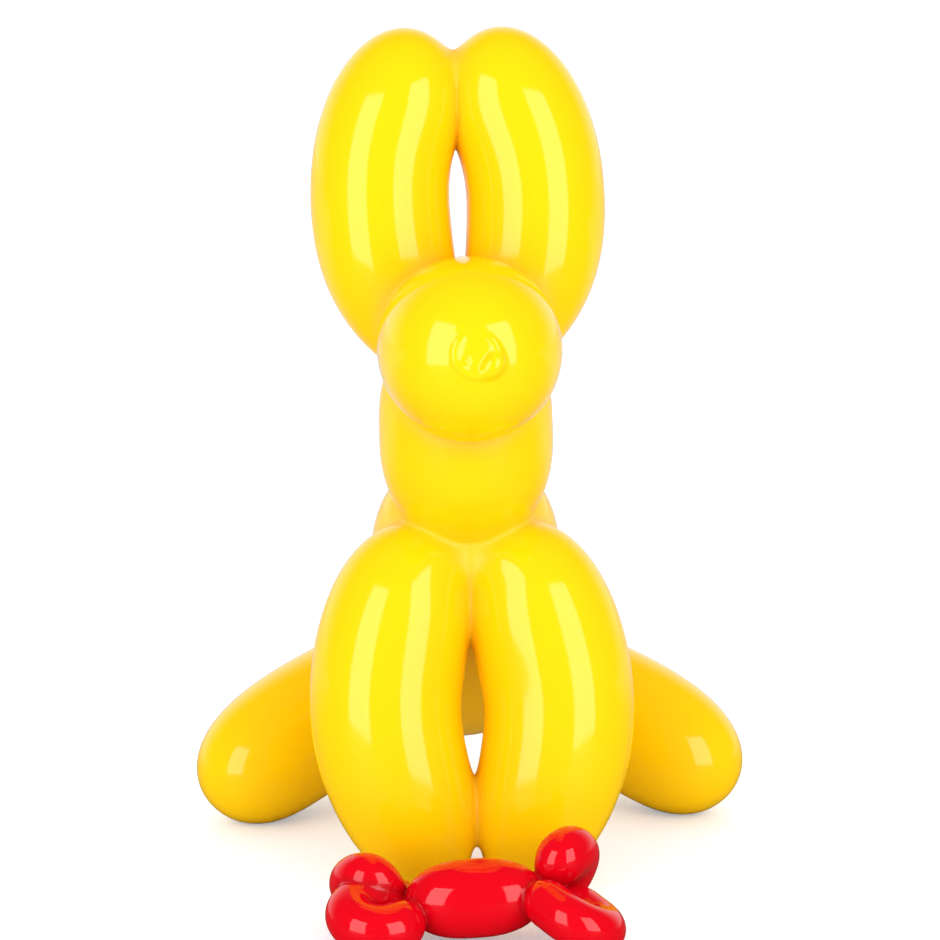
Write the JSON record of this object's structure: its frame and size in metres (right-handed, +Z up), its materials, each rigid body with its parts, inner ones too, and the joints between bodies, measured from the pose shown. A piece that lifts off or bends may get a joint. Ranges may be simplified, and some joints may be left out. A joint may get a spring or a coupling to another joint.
{
  "type": "balloon dog sculpture",
  "caption": "Table-top sculpture of a sitting dog twisted from long balloons, with a small balloon bone lying on the floor before its front paws.",
  "frame": {"origin": "on the floor, under the middle of the box round the dog and its bone", "axes": "+Z up, the dog faces -Y, +X is the dog's left"},
  "size_m": [0.2046, 0.2766, 0.3],
  "materials": {
    "yellow_lacquer": "high gloss lacquer on cast resin",
    "red_lacquer": "high gloss lacquer on cast resin"
  },
  "bodies": {
    "root": {"balloon_dog": "yellow_lacquer", "balloon_bone": "red_lacquer"}
  },
  "joints": []
}
